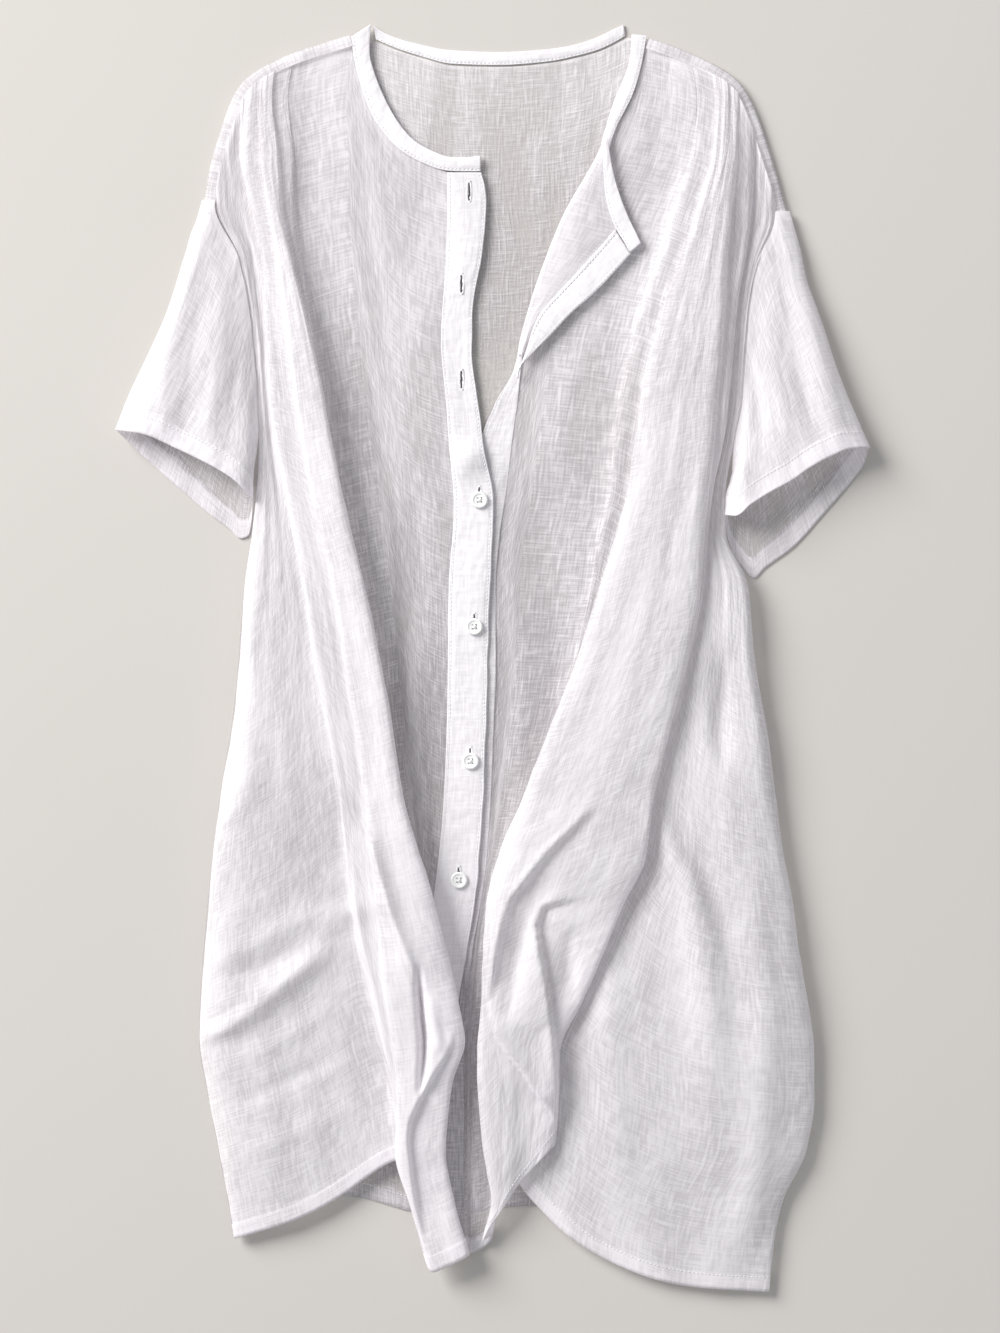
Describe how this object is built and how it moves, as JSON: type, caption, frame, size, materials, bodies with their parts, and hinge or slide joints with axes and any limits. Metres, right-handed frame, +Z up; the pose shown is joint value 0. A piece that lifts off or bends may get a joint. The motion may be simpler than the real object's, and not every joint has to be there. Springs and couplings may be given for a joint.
{
  "type": "short-sleeve shirt",
  "caption": "Long white linen gauze shirt with short sleeves and a full button front, laid flat with its top corner folded back and its fronts gathered in big folds.",
  "frame": {"origin": "centre of the bounding box, on the surface the shirt lies on", "axes": "+Y towards the neck along the shirt's length, +Z up from the surface, +X towards the button side"},
  "size_m": [0.5892, 0.9901, 0.0323],
  "materials": {
    "linen_gauze": "open slubby linen gauze, one layer, slightly see-through",
    "linen_doubled": "the same linen doubled and stitched, opaque",
    "button_plastic": "white, softly glossy"
  },
  "bodies": {
    "root": {"back_panel": "linen_gauze", "front_left": "linen_gauze", "front_right": "linen_gauze", "sleeve_left": "linen_gauze", "sleeve_right": "linen_gauze", "neck_band_left": "linen_doubled", "neck_band_back": "linen_doubled", "neck_band_right": "linen_doubled", "neck_band_flap": "linen_doubled", "placket_left": "linen_doubled", "placket_right": "linen_doubled", "placket_flap": "linen_doubled", "button_1": "button_plastic", "button_2": "button_plastic", "button_3": "button_plastic", "button_4": "button_plastic", "button_5": "button_plastic", "button_6": "button_plastic", "button_7": "button_plastic"}
  },
  "joints": []
}
